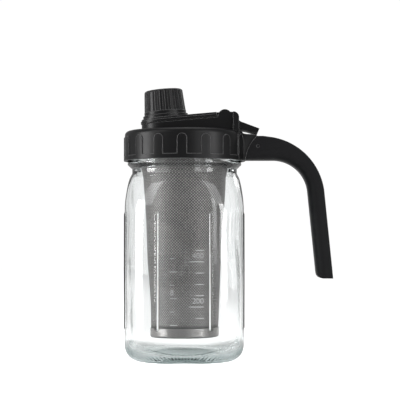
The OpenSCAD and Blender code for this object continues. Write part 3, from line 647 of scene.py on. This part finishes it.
def ring_angles():
    """Directions of the points in a ring: close together at the ribs, further apart elsewhere."""
    laterals = list(np.arange(0.0, COARSE_END, COARSE_STEP))
    laterals += list(np.arange(FINE_START, FINE_END, FINE_STEP))
    eighth = [math.atan2(lateral, SIDE_HALF) for lateral in laterals]
    last = eighth[-1]
    eighth += [last + (math.pi / 4 - last) * step / CORNER_STEPS for step in range(1, CORNER_STEPS + 1)]
    quarter = [-angle for angle in eighth[:0:-1]][1:] + eighth
    return np.array([angle + turn * math.pi / 2 for turn in range(4) for angle in quarter])


angles = ring_angles()
print("points in a ring:", len(angles))

# %% [markdown]
# ### Rings, thread and lip
# A jar's screw thread is a single ridge that climbs once and a quarter round the mouth. The rings
# there are close together, and the ridge is added to their radius where the helix passes. The lowest
# rings of the foot carry the ends of the notches that the bearing ring gets further on.

# %% Build the rings
THREAD_PITCH = 6.35
THREAD_TURNS = 1.25
THREAD_START = 152.0
THREAD_PROUD = 1.5
THREAD_HALF = 1.5
THREAD_FADE = 12
THREAD_FULLNESS = 0.8
NOTCHES = 84
NOTCH_DEPTH = 1.0
NOTCH_RUN_OUT = 3.0


def thread_height(angle, height):
    """How far the thread stands out of the mouth's outside."""
    out = 0.0
    for turn in range(2):
        travelled = (angle % (2 * math.pi)) / (2 * math.pi) + turn
        if travelled > THREAD_TURNS:
            continue
        fade = min(1.0, travelled * THREAD_FADE, (THREAD_TURNS - travelled) * THREAD_FADE)
        off = abs(height - THREAD_START - THREAD_PITCH * travelled)
        if off < THREAD_HALF:
            section = math.cos(off / THREAD_HALF * math.pi / 2) ** THREAD_FULLNESS
            out = max(out, fade * THREAD_PROUD * section)
    return out


def notch_rise(angle):
    """How far a notch in the bearing ring lies above the table."""
    return NOTCH_DEPTH * (0.5 + 0.5 * math.cos(NOTCHES * angle))


def skin_ring(height, inset, floor):
    """One ring of the jar's body; the notches of the bearing ring run out in its foot."""
    run_out = 0.0 if inset else max(0.0, 1 - height / NOTCH_RUN_OUT)
    points = []
    for angle in angles:
        distance = jar_outline(angle, height, inset, floor)
        x, y = distance * math.cos(angle), distance * math.sin(angle)
        if not inset:
            if abs(x) >= abs(y):
                x += math.copysign(rib_height(y, height), x)
            else:
                y += math.copysign(rib_height(x, height), y)
        points.append((x, y, height + run_out * notch_rise(angle)))
    return points


def turned_ring(radius, height, threaded=False):
    """One round ring, with the thread added where it is asked for."""
    points = []
    for angle in angles:
        distance = radius + (thread_height(angle, height) if threaded else 0.0)
        points.append((distance * math.cos(angle), distance * math.sin(angle), height))
    return points


def arc_points(middle, radius, start, end, count):
    """Points of an arc in a profile, as pairs of distance and height."""
    turns = np.radians(np.linspace(start, end, count))
    return [(middle[0] + radius * math.cos(t), middle[1] + radius * math.sin(t)) for t in turns]


print("thread turns:", THREAD_TURNS)

# %% [markdown]
# ### Base and bearing ring
# The jar stands on a ring round a shallow hollow. The ring is notched all the way round, so that the
# hot jar doesn't crack on a cold belt; in the photograph the notches show as a scalloped lower edge.
# Hollow and floor are low domes, and these lenses draw the soft ellipses seen in the base.

# %% Base rings
PUNT_RADIUS = 27.0
PUNT_DEPTH = 3.4
FLOOR_DOME = 3.2


def base_ring(share):
    """A ring of the underside between the hollow's edge and the foot, with its notches."""
    points = []
    for angle in angles:
        outer = jar_outline(angle, 0.0, 0.0, 0.0)
        distance = PUNT_RADIUS + share * (outer - PUNT_RADIUS)
        notch = notch_rise(angle) * math.sin(math.pi / 2 * share)
        points.append((distance * math.cos(angle), distance * math.sin(angle), notch))
    return points


def foot_heights(foot, floor, count):
    """Heights that follow a round foot evenly."""
    return [floor + foot * (1 - math.cos(t)) for t in np.linspace(0, math.pi / 2, count)]


def dome(radius, edge, rise):
    """Height of a low dome above its edge."""
    return rise * (1 - (radius / edge) ** 2)


hollow_radii = np.linspace(1.5, PUNT_RADIUS - 0.6, 16)
outer_rings = [turned_ring(radius, dome(radius, PUNT_RADIUS, PUNT_DEPTH)) for radius in hollow_radii]
outer_rings += [base_ring(share) for share in (0.0, 0.15, 0.35, 0.5, 0.65, 0.85)]
print("rings under the jar:", len(outer_rings))

# %% [markdown]
# ### Body, neck and lip
# Up the body the rings are close together where the ribs begin and end and where the shoulder turns
# in. Above it come arcs for the neck's groove, the carrying bead and the rounded lip, with the
# threaded rings between the bead and the lip.

# %% Body, neck and lip rings
GROOVE_ROUND = 1.2
BEAD_MIDDLE = (FINISH_RADIUS - 0.5, 146.9)
BEAD_ROUND = 1.8
LIP_OUTER_ROUND = 1.2
LIP_INNER_ROUND = 0.9
THREADED_FROM = 149.2
THREADED_STEP = 0.45
BELOW_LIP = 1.4

body_heights = foot_heights(SIDE_FOOT + TURNED_FOOT_MORE, 0.0, 16)
body_heights += [18, 22, 24, 24.4, 24.8, 25.3, 25.8, 26.3, 27]
body_heights += list(np.arange(28, 104, 8)) + [104, 106, 108, 109]
body_heights += list(np.arange(110, 115, 0.6)) + list(np.arange(116, NECK_BOTTOM - 0.6, 1.5))
outer_rings += [skin_ring(height, 0.0, 0.0) for height in body_heights]

neck_profile = arc_points((NECK_RADIUS + GROOVE_ROUND, NECK_BOTTOM + 0.9), GROOVE_ROUND, 215, 180, 5)
neck_profile += arc_points((NECK_RADIUS + GROOVE_ROUND, NECK_TOP - 1.0), GROOVE_ROUND, 180, 120, 6)
neck_profile += arc_points(BEAD_MIDDLE, BEAD_ROUND, -50, 60, 12)
outer_rings += [turned_ring(radius, height) for radius, height in neck_profile]

threaded_heights = np.arange(THREADED_FROM, JAR_HEIGHT - BELOW_LIP, THREADED_STEP)
outer_rings += [turned_ring(FINISH_RADIUS, height, threaded=True) for height in threaded_heights]

lip_outside = (FINISH_RADIUS - LIP_OUTER_ROUND, JAR_HEIGHT - LIP_OUTER_ROUND)
lip_inside = (MOUTH_RADIUS + LIP_INNER_ROUND, JAR_HEIGHT - LIP_INNER_ROUND)
lip_profile = arc_points(lip_outside, LIP_OUTER_ROUND, 0, 90, 6)
lip_profile += arc_points(lip_inside, LIP_INNER_ROUND, 90, 180, 6)
outer_rings += [turned_ring(radius, height) for radius, height in lip_profile]
print("outer rings:", len(outer_rings))


# %% Inner rings, from the lip down to the middle of the floor
WAVES = ((0.16, 2, 0.045, 0.0), (0.12, 5, -0.07, 1.0), (0.10, 3, 0.13, 0.0))
WAVE_FADE_NECK = 20.0
WAVE_FADE_FLOOR = 12.0


def blown_inside(ring):
    """Blown glass is never quite even inside, so the inner skin waves by a fraction of a millimetre."""
    points = []
    for x, y, z in ring:
        angle = math.atan2(y, x)
        fade = min(1.0, max(0.0, (NECK_BOTTOM - z) / WAVE_FADE_NECK))
        fade *= min(1.0, max(0.0, (z - BASE) / WAVE_FADE_FLOOR))
        wave = sum(size * math.sin(folds * angle + climb * z + start) for size, folds, climb, start in WAVES)
        grow = 1 + fade * wave / SIDE_HALF
        points.append((x * grow, y * grow, z))
    return points


inner_rings = [turned_ring(MOUTH_RADIUS, z) for z in (160, 154, 148, 143, NECK_BOTTOM + 0.5)]
inner_heights = list(np.arange(NECK_BOTTOM - 0.8, 102, -1.8)) + list(np.arange(100, 20, -5))
inner_heights += foot_heights(SIDE_FOOT - WALL + TURNED_FOOT_MORE, BASE, 14)[::-1]
inner_rings += [blown_inside(skin_ring(height, WALL, BASE)) for height in inner_heights]
floor_ring = np.array(inner_rings[-1])
for share in np.linspace(0.94, 0.06, 16):
    ring = floor_ring * share
    ring[:, 2] = BASE + dome(share, 1.0, FLOOR_DOME)
    inner_rings.append([tuple(point) for point in ring])
print("inner rings:", len(inner_rings))


# %% Sew the rings into one skin
def new_piece(name, points, faces, finish, body, crease=None):
    """A piece made of points in metres; with a crease angle it is smooth up to that angle."""
    mesh = bpy.data.meshes.new(name)
    mesh.from_pydata(points, [], faces)
    mesh.validate()
    mesh.materials.append(finish)
    if crease is not None:
        mesh.shade_smooth()
        mesh.set_sharp_from_angle(angle=math.radians(crease))
    piece = bpy.data.objects.new(name, mesh)
    bpy.context.scene.collection.objects.link(piece)
    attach(piece, body)
    return piece


def sew_rings(name, rings, first_tip, last_tip, finish, body):
    """Makes a closed mesh of rings that all have the same number of points."""
    count = len(rings[0])
    points = [first_tip] + [point for ring in rings for point in ring] + [last_tip]
    faces = [(0, 1 + (step + 1) % count, 1 + step) for step in range(count)]
    for row in range(len(rings) - 1):
        low = 1 + row * count
        for step in range(count):
            nxt = (step + 1) % count
            faces.append((low + step, low + nxt, low + count + nxt, low + count + step))
    top = 1 + (len(rings) - 1) * count
    tip = len(points) - 1
    faces += [(top + step, top + (step + 1) % count, tip) for step in range(count)]
    places = [tuple(value * MM for value in point) for point in points]
    return new_piece(name, places, faces, finish, body, crease=50.0)


jar = sew_rings(
    "jar_glass",
    outer_rings + inner_rings,
    first_tip=(0, 0, PUNT_DEPTH),
    last_tip=(0, 0, BASE + FLOOR_DOME),
    finish=glass,
    body="jar",
)
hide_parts("glass_jar")
print("faces of the glass:", len(jar.data.polygons))

# %% [markdown]
# ## Graduations
# The front of a preserving jar carries raised marks: short bars with plain numbers, millilitres on the
# right and fluid ounces on the left. They are part of the glass and show only as thin light strokes
# over the dark basket, each number above its bar. Here each mark is a thin raised skin, half
# transparent and whitish: the whitish colour is a painted highlight for the light that the clear glass
# marks catch and bend.

# %% Make the graduations
# Whitish colour of the marks: a painted highlight in place of the light the clear glass catches.
MARK_HIGHLIGHT_COLOUR = (0.8, 0.81, 0.81)
MARK_ROUGHNESS = 0.12
mark_highlight_finish, mark_tree, mark_shader = start_material("raised_marks_highlight", MARK_HIGHLIGHT_COLOUR, MARK_ROUGHNESS, Alpha=0.5)
lay_grain(mark_tree, mark_shader, grain_size=0.0006, depth=0.00001, roughness=MARK_ROUGHNESS, change=0.08)
MARK_DEPTH = 0.35
MARK_SIZE = 5.6
MARK_LIFT = 4.1
FRONT_FACE = 44.05
FLOOR_HEIGHT = 9.6
HEIGHT_PER_ML = 0.162
ML_PER_OUNCE = 29.57
BAR_THICK = 0.7
ML_BAR, ML_LONG_BAR = (8.4, 14.4), (4.0, 14.4)
OUNCE_BAR, OUNCE_LONG_BAR = (-10.0, -7.0), (-10.0, -4.8)


def mark_mesh(words, place_x, place_z, align):
    """A number on the jar's front, as the points and faces of a thin raised mesh."""
    curve = bpy.data.curves.new("mark", "FONT")
    curve.body = words
    curve.size = MARK_SIZE * MM
    curve.align_x = align
    curve.align_y = "CENTER"
    curve.extrude = MARK_DEPTH / 2 * MM
    curve.resolution_u = 3
    writer = bpy.data.objects.new("mark", curve)
    bpy.context.scene.collection.objects.link(writer)
    mesh = bpy.data.meshes.new_from_object(writer.evaluated_get(bpy.context.evaluated_depsgraph_get()))
    bpy.data.objects.remove(writer)
    places = [vertex.co for vertex in mesh.vertices]
    points = [(at.x + place_x * MM, -at.z - FRONT_FACE * MM, at.y + place_z * MM) for at in places]
    return points, [tuple(face.vertices) for face in mesh.polygons]


def mark_bar(x0, x1, z):
    """A short raised bar, as points and faces."""
    y0, y1 = (-FRONT_FACE - MARK_DEPTH / 2) * MM, (-FRONT_FACE + MARK_DEPTH / 2) * MM
    low, high = (z - BAR_THICK / 2) * MM, (z + BAR_THICK / 2) * MM
    x0, x1 = x0 * MM, x1 * MM
    points = [(x0, y0, low), (x1, y0, low), (x1, y0, high), (x0, y0, high)]
    points += [(x, y1, height) for x, _, height in points]
    faces = [(0, 1, 2, 3), (7, 6, 5, 4), (0, 4, 5, 1), (1, 5, 6, 2), (2, 6, 7, 3), (3, 7, 4, 0)]
    return points, faces


def join_meshes(name, parts, finish, body):
    """One piece from several lists of points and faces in metres."""
    points, faces = [], []
    for part_points, part_faces in parts:
        start = len(points)
        points += part_points
        faces += [tuple(start + index for index in face) for face in part_faces]
    return new_piece(name, points, faces, finish, body)


marks = []
for millilitres in range(100, 451, 50):
    level = FLOOR_HEIGHT + HEIGHT_PER_ML * millilitres
    numbered = millilitres % 200 == 0
    bar_start, bar_end = ML_LONG_BAR if numbered else ML_BAR
    marks.append(mark_bar(bar_start, bar_end, level))
    if numbered:
        marks.append(mark_mesh(str(millilitres), bar_end, level + MARK_LIFT, "RIGHT"))
for ounces in range(4, 15, 2):
    level = FLOOR_HEIGHT + HEIGHT_PER_ML * ML_PER_OUNCE * ounces
    bar_start, bar_end = OUNCE_LONG_BAR if ounces % 4 == 0 else OUNCE_BAR
    marks.append(mark_bar(bar_start, bar_end, level))
    if ounces % 8 == 0:
        marks.append(mark_mesh(str(ounces), bar_start, level + MARK_LIFT, "LEFT"))
graduations = join_meshes("jar_graduations", marks, mark_highlight_finish, "jar")
print("marks:", len(marks))

# %% [markdown]
# ## Screw threads
# The solid model leaves the threads out, because a stand-in turns without them. Here each thread is a
# ridge that is swept along a helix: one inside the collar for the jar, one round the spout and one
# inside the cap. Its section is a low wedge, and both ends run out to nothing, as moulded threads do.

# %% Sweep the threads
SPOUT_TILT = 5.0
SPOUT_REACH = 44.0
PIN_PLACE = (30.0, 0.0, 181.4)
COLLAR_INSIDE = 43.4
CAP_INSIDE = 13.0
SPOUT_ROOT = 12.2
SPOUT_NARROWS = 1.3 / 13.2
RIDGE_SUNK = 0.12
RIDGE_STEPS = 72
RIDGE_CREST = 0.35
RIDGE_FADE = 10
RIDGE_LEAST = 0.02
spout_frame = Matrix.Translation(PIN_PLACE) @ Matrix.Rotation(math.radians(-SPOUT_TILT), 4, "Y")
spout_frame = spout_frame @ Matrix.Translation((-SPOUT_REACH, 0.0, 0.0))


def thread_ridge(name, root, start, pitch, turns, out, half, place, body, narrows=0.0):
    """A ridge on a helix of radius root, less narrows per mm of height; out below 0 is inwards."""
    sunk = -math.copysign(RIDGE_SUNK, out)
    crest = half * RIDGE_CREST
    steps = round(turns * RIDGE_STEPS)
    points, faces = [], []
    for step in range(steps + 1):
        share = step / steps
        angle = 2 * math.pi * turns * share
        middle = start + pitch * turns * share
        fade = min(1.0, RIDGE_FADE * turns * min(share, 1 - share) + RIDGE_LEAST)
        for up, away in ((-half, sunk), (-crest, out * fade), (crest, out * fade), (half, sunk)):
            distance = root - narrows * middle + away
            spot = Vector((distance * math.cos(angle), distance * math.sin(angle), middle + up))
            points.append(tuple((place @ spot) * MM))
    for step in range(steps):
        for side in range(4):
            nxt = (side + 1) % 4
            faces.append((4 * step + side, 4 * step + nxt, 4 * step + 4 + nxt, 4 * step + 4 + side))
    faces += [(3, 2, 1, 0), tuple(4 * steps + side for side in range(4))]
    piece = new_piece(name, points, faces, satin_black, body, crease=40.0)


LID_THREAD_START = THREAD_START + 3.6
CAP_PITCH = 3.0
lid_shape = {"start": LID_THREAD_START, "pitch": THREAD_PITCH, "turns": 1.1, "out": -1.2, "half": 1.2}
spout_shape = {"start": 6.6, "pitch": CAP_PITCH, "turns": 1.6, "out": 0.6, "half": 0.7}
cap_shape = {"start": 8.1, "pitch": CAP_PITCH, "turns": 1.5, "out": -0.5, "half": 0.6}
upright = Matrix.Identity(4)
thread_ridge("lid_thread", COLLAR_INSIDE, **lid_shape, place=upright, body="lid")
thread_ridge("spout_thread", SPOUT_ROOT, **spout_shape, place=spout_frame, body="lid", narrows=SPOUT_NARROWS)
thread_ridge("cap_thread", CAP_INSIDE, **cap_shape, place=spout_frame, body="cap")
print("threads swept")

# %% [markdown]
# ## Seam of the basket
# The mesh is rolled from one sheet, so its two edges overlap in an upright seam that is welded with a
# row of spots. The seam is a thin strip of sheet that follows the basket's outline, on the far side.

# %% Lay the seam
BASKET_OUTLINE = ((35.0, 156.0), (31.0, 136.5), (25.1, 26.0))
SEAM_TURN = math.radians(62.0)
SEAM_WIDTH = 3.4
SEAM_PROUD = 0.28
SEAM_SUNK = 0.2
WELD_ZONE, WELD_PITCH = (31.0, 134.0), 6.4
WELD_PROFILE = ((0.9, -0.1), (0.75, 0.14), (0.4, 0.2))
WELD_SIDES = 12


def basket_radius(height):
    """Outside radius of the basket at a height, between its flare and its long taper."""
    (r0, z0), (r1, z1), (r2, z2) = BASKET_OUTLINE
    if height >= z1:
        return r1 + (r0 - r1) * (height - z1) / (z0 - z1)
    return r2 + (r1 - r2) * (height - z2) / (z1 - z2)


def seam_strip():
    """A thin strip that follows the basket from its foot to its mouth."""
    points, faces = [], []
    (_, mouth), (_, bend), (_, foot) = BASKET_OUTLINE
    levels = list(np.linspace(foot, bend, 40)) + list(np.linspace(bend + 1.0, mouth - 0.5, 8))
    for level in levels:
        middle = basket_radius(level)
        for side in (-1, 1):
            turn = SEAM_TURN + side * SEAM_WIDTH / 2 / middle
            for away in (-SEAM_SUNK, SEAM_PROUD):
                distance = (middle + away) * MM
                points.append((distance * math.cos(turn), distance * math.sin(turn), level * MM))
    for row in range(len(levels) - 1):
        a = 4 * row
        for one, two in ((0, 1), (1, 3), (3, 2), (2, 0)):
            faces.append((a + one, a + two, a + 4 + two, a + 4 + one))
    top = 4 * (len(levels) - 1)
    faces += [(0, 2, 3, 1), (top, top + 1, top + 3, top + 2)]
    return points, faces


def weld_spot(level):
    """A small round button where the seam is spot welded."""
    distance = basket_radius(level) + SEAM_PROUD
    out = Vector((math.cos(SEAM_TURN), math.sin(SEAM_TURN), 0.0))
    along = Vector((-math.sin(SEAM_TURN), math.cos(SEAM_TURN), 0.0))
    middle = out * distance + Vector((0.0, 0.0, level))
    points, faces = [], []
    for radius, rise in WELD_PROFILE:
        for step in range(WELD_SIDES):
            turn = step * 2 * math.pi / WELD_SIDES
            upward = Vector((0, 0, radius * math.sin(turn)))
            points.append(tuple((middle + along * radius * math.cos(turn) + upward + out * rise) * MM))
    for ring in range(len(WELD_PROFILE) - 1):
        low, high = ring * WELD_SIDES, (ring + 1) * WELD_SIDES
        for step in range(WELD_SIDES):
            nxt = (step + 1) % WELD_SIDES
            faces.append((low + step, low + nxt, high + nxt, high + step))
    faces.append(tuple(range(len(points) - WELD_SIDES, len(points))))
    return points, faces


seam_parts = [seam_strip()] + [weld_spot(level) for level in np.arange(*WELD_ZONE, WELD_PITCH)]
seam = join_meshes("basket_seam", seam_parts, sheet_steel, "filter")
print("weld spots:", len(seam_parts) - 1)

# %% [markdown]
# ## Studio
# The photograph has a pure white background with hardly a shadow. The floor is a pale sheet, and the
# world behind it is white to the camera, but dimmer as a lamp, so that the black lid stays black.
# Glass shows its form by what it bends into view: seen through the jar, only the backdrop behind it is
# white, and the room in front is dark, which draws the grey lines of the base and the shoulders.

# %% World and floor
BACKDROP_LEVEL = 1.02
BACKDROP_EDGES = (0.4, 0.97)
ROOM_LEVEL = 0.02
WORLD_AS_LAMP = 0.26
WORLD_IN_GLOSS = 0.4
FLOOR_SIZE = 6.0
FLOOR_GLOW = 0.85
FLOOR_IN_GLASS = 0.57
FLOOR_EDGES = (0.03, 0.1)


def through_glass(tree, ray):
    """1 for a ray that came through glass and hasn't met a matt surface."""
    first_hit = sum_of(tree, "LESS_THAN", ray.outputs["Diffuse Depth"], 0.5)
    in_glass = sum_of(tree, "GREATER_THAN", ray.outputs["Transmission Depth"], 0.5)
    return sum_of(tree, "MULTIPLY", in_glass, first_hit)


world = bpy.data.worlds.new("studio")
bpy.context.scene.world = world
world.use_nodes = True
sky = world.node_tree
background = sky.nodes["Background"]
background.inputs["Color"].default_value = (1.0, 1.0, 1.0, 1.0)
sky_ray = add_node(sky, "ShaderNodeLightPath")
seen = sum_of(sky, "MAXIMUM", sky_ray.outputs["Is Camera Ray"], through_glass(sky, sky_ray))
sky_way = split(sky, add_node(sky, "ShaderNodeTexCoord").outputs["Generated"])
backdrop = change_over(sky, sky_way["Y"], BACKDROP_EDGES, (ROOM_LEVEL, BACKDROP_LEVEL), "SMOOTHSTEP")
seen_level = sum_of(sky, "MAXIMUM", sky_ray.outputs["Is Camera Ray"], backdrop)
unseen = sum_of(sky, "SUBTRACT", 1.0, seen)
in_gloss = sum_of(sky, "MULTIPLY", sky_ray.outputs["Is Glossy Ray"], WORLD_IN_GLOSS - WORLD_AS_LAMP)
lamp_level = sum_of(sky, "MULTIPLY", unseen, sum_of(sky, "ADD", in_gloss, WORLD_AS_LAMP))
strength = sum_of(sky, "ADD", sum_of(sky, "MULTIPLY", seen, seen_level), lamp_level)
connect(sky, strength, background.inputs["Strength"])

bpy.ops.mesh.primitive_plane_add(size=FLOOR_SIZE)
floor = bpy.context.object
floor.name = "studio_floor"
floor_finish, floor_tree, floor_shader = start_material("pale_floor", (0.9, 0.9, 0.9), 0.9)
floor_shader.inputs["Specular IOR Level"].default_value = 0.0
floor_shader.inputs["Emission Color"].default_value = (1.0, 1.0, 1.0, 1.0)
floor_ray = add_node(floor_tree, "ShaderNodeLightPath")
floor_way = split(floor_tree, object_place(floor_tree))
floor_back = change_over(floor_tree, floor_way["Y"], FLOOR_EDGES, (0.0, FLOOR_IN_GLASS), "SMOOTHSTEP")
floor_seen = sum_of(floor_tree, "MULTIPLY", through_glass(floor_tree, floor_ray), floor_back)
floor_plain = sum_of(floor_tree, "MULTIPLY", floor_ray.outputs["Is Camera Ray"], FLOOR_GLOW)
glow = sum_of(floor_tree, "MAXIMUM", floor_plain, floor_seen)
connect(floor_tree, glow, floor_shader.inputs["Emission Strength"])
floor.data.materials.append(floor_finish)
print("world and floor ready")

# %% [markdown]
# ### Lamps
# Black plastic and clear glass show mostly what they mirror, so every lamp is a broad soft panel. A
# strip at each side draws the upright highlights, the panels above them light the lid, and the
# ceiling light fills in from above.

# %% Lamps
JAR_MIDDLE = (0, 0, 0.12)
LID_FOOT = (0, 0, 0.14)


def softbox(name, place, aim, size, power):
    """A rectangular area lamp that faces the point aim."""
    lamp = bpy.data.lights.new(name, "AREA")
    lamp.shape = "RECTANGLE"
    lamp.size, lamp.size_y = size
    lamp.energy = power
    box = bpy.data.objects.new(name, lamp)
    box.location = place
    box.rotation_euler = (Vector(aim) - Vector(place)).to_track_quat("-Z", "Y").to_euler()
    bpy.context.scene.collection.objects.link(box)


softbox("left_strip", place=(-1.05, -0.22, 0.2), aim=JAR_MIDDLE, size=(0.4, 0.6), power=7.5)
softbox("right_strip", place=(0.95, -0.62, 0.17), aim=JAR_MIDDLE, size=(0.3, 0.5), power=3.2)
softbox("front_softbox", place=(0.62, -1.1, 0.3), aim=LID_FOOT, size=(0.3, 0.5), power=1.2)
softbox("left_softbox", place=(-0.9, -0.6, 0.75), aim=LID_FOOT, size=(0.8, 0.8), power=3.4)
softbox("right_softbox", place=(0.8, -0.8, 0.75), aim=LID_FOOT, size=(0.8, 0.8), power=3.4)
softbox("back_softbox", place=(0.7, 0.9, 0.7), aim=LID_FOOT, size=(0.5, 0.5), power=1.5)
softbox("ceiling_light", place=(0.0, 0.15, 1.2), aim=JAR_MIDDLE, size=(0.7, 0.7), power=2.4)
print("lamps:", len(bpy.data.lights))

# %% [markdown]
# ## Last steps
# The picture is kept as plain as the photograph: no film curve.

# %% Finish
bpy.context.scene.view_settings.view_transform = "Standard"
